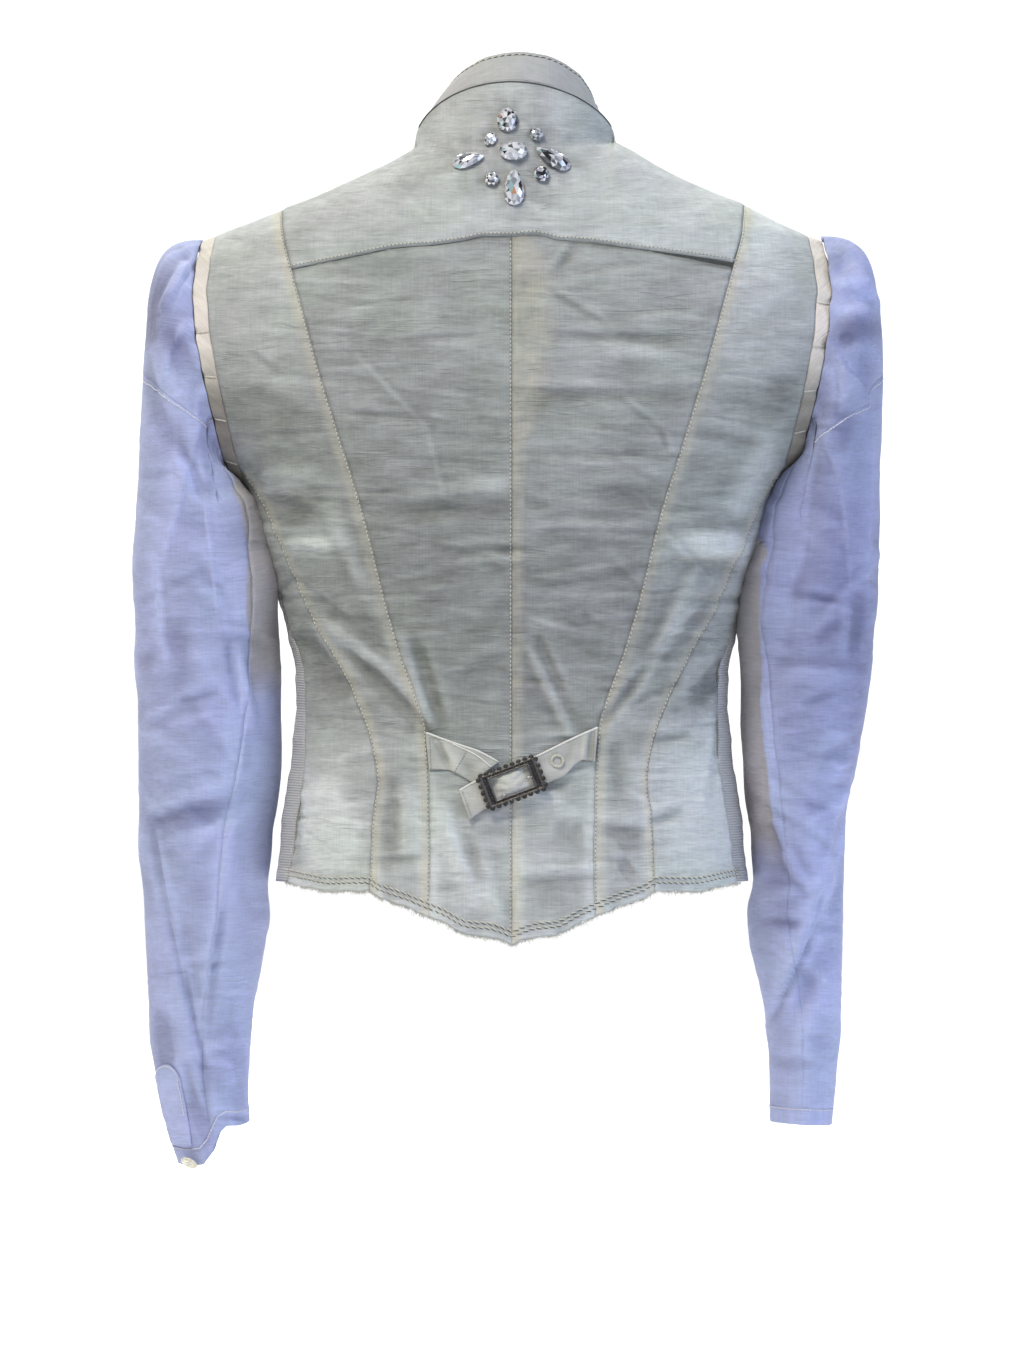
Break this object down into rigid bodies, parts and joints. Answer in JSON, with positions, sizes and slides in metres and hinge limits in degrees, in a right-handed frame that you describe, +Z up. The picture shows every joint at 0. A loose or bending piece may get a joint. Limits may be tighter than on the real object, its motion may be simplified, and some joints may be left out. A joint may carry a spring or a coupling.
{
  "type": "embellished jacket",
  "caption": "Cropped fitted vest jacket with shirt sleeves, princess seams, stand collar, crystal cluster on the yoke and a buckled waist strap.",
  "frame": {"origin": "back of the neck, where the collar seam crosses the centre back; the wearer's neck and shoulders hold the garment there", "axes": "+Z up along the body, +Y out of the back, -Y out of the front, +X to the wearer's left"},
  "size_m": [0.4568, 0.2303, 0.6814],
  "materials": {
    "vest_linen": "sheer slubbed linen, pale celadon",
    "collar_linen": "folded linen, pale grey beige",
    "binding_linen": "folded bias linen, beige",
    "rib_knit": "fine horizontal rib",
    "sleeve_linen": "sheer pale blue linen",
    "strap_linen": "folded linen, off-white",
    "pewter": "dark antique cast metal, polished ridges",
    "pearl": "polished, pearly",
    "crystal": "cut and polished, foiled back"
  },
  "bodies": {
    "root": {"back_yoke": "vest_linen", "back_centre_left": "vest_linen", "back_centre_right": "vest_linen", "back_princess_left": "vest_linen", "back_princess_right": "vest_linen", "back_side_left": "vest_linen", "back_side_right": "vest_linen", "front_left": "vest_linen", "front_right": "vest_linen", "front_band": "vest_linen", "collar_stand": "collar_linen", "armhole_binding_left": "binding_linen", "armhole_binding_right": "binding_linen", "side_rib_left": "rib_knit", "side_rib_right": "rib_knit", "sleeve_cap_left": "sleeve_linen", "sleeve_cap_right": "sleeve_linen", "sleeve_upper_left": "sleeve_linen", "sleeve_upper_right": "sleeve_linen", "sleeve_under_left": "sleeve_linen", "sleeve_under_right": "sleeve_linen", "cuff_left": "sleeve_linen", "cuff_right": "sleeve_linen", "sleeve_placket_left": "sleeve_linen", "sleeve_placket_right": "sleeve_linen", "strap_left": "strap_linen", "strap_right": "strap_linen", "strap_eyelet": "strap_linen", "buckle_frame": "pewter", "buckle_prong": "pewter", "front_button_1": "pearl", "front_button_2": "pearl", "front_button_3": "pearl", "front_button_4": "pearl", "front_button_5": "pearl", "front_button_6": "pearl", "cuff_button_left": "pearl", "cuff_button_right": "pearl", "crystal_oval_top": "crystal", "crystal_oval_centre": "crystal", "crystal_drop_left": "crystal", "crystal_drop_right": "crystal", "crystal_drop_bottom": "crystal", "crystal_small_upper_left": "crystal", "crystal_small_upper_right": "crystal", "crystal_small_lower_left": "crystal", "crystal_small_lower_right": "crystal"}
  },
  "joints": []
}
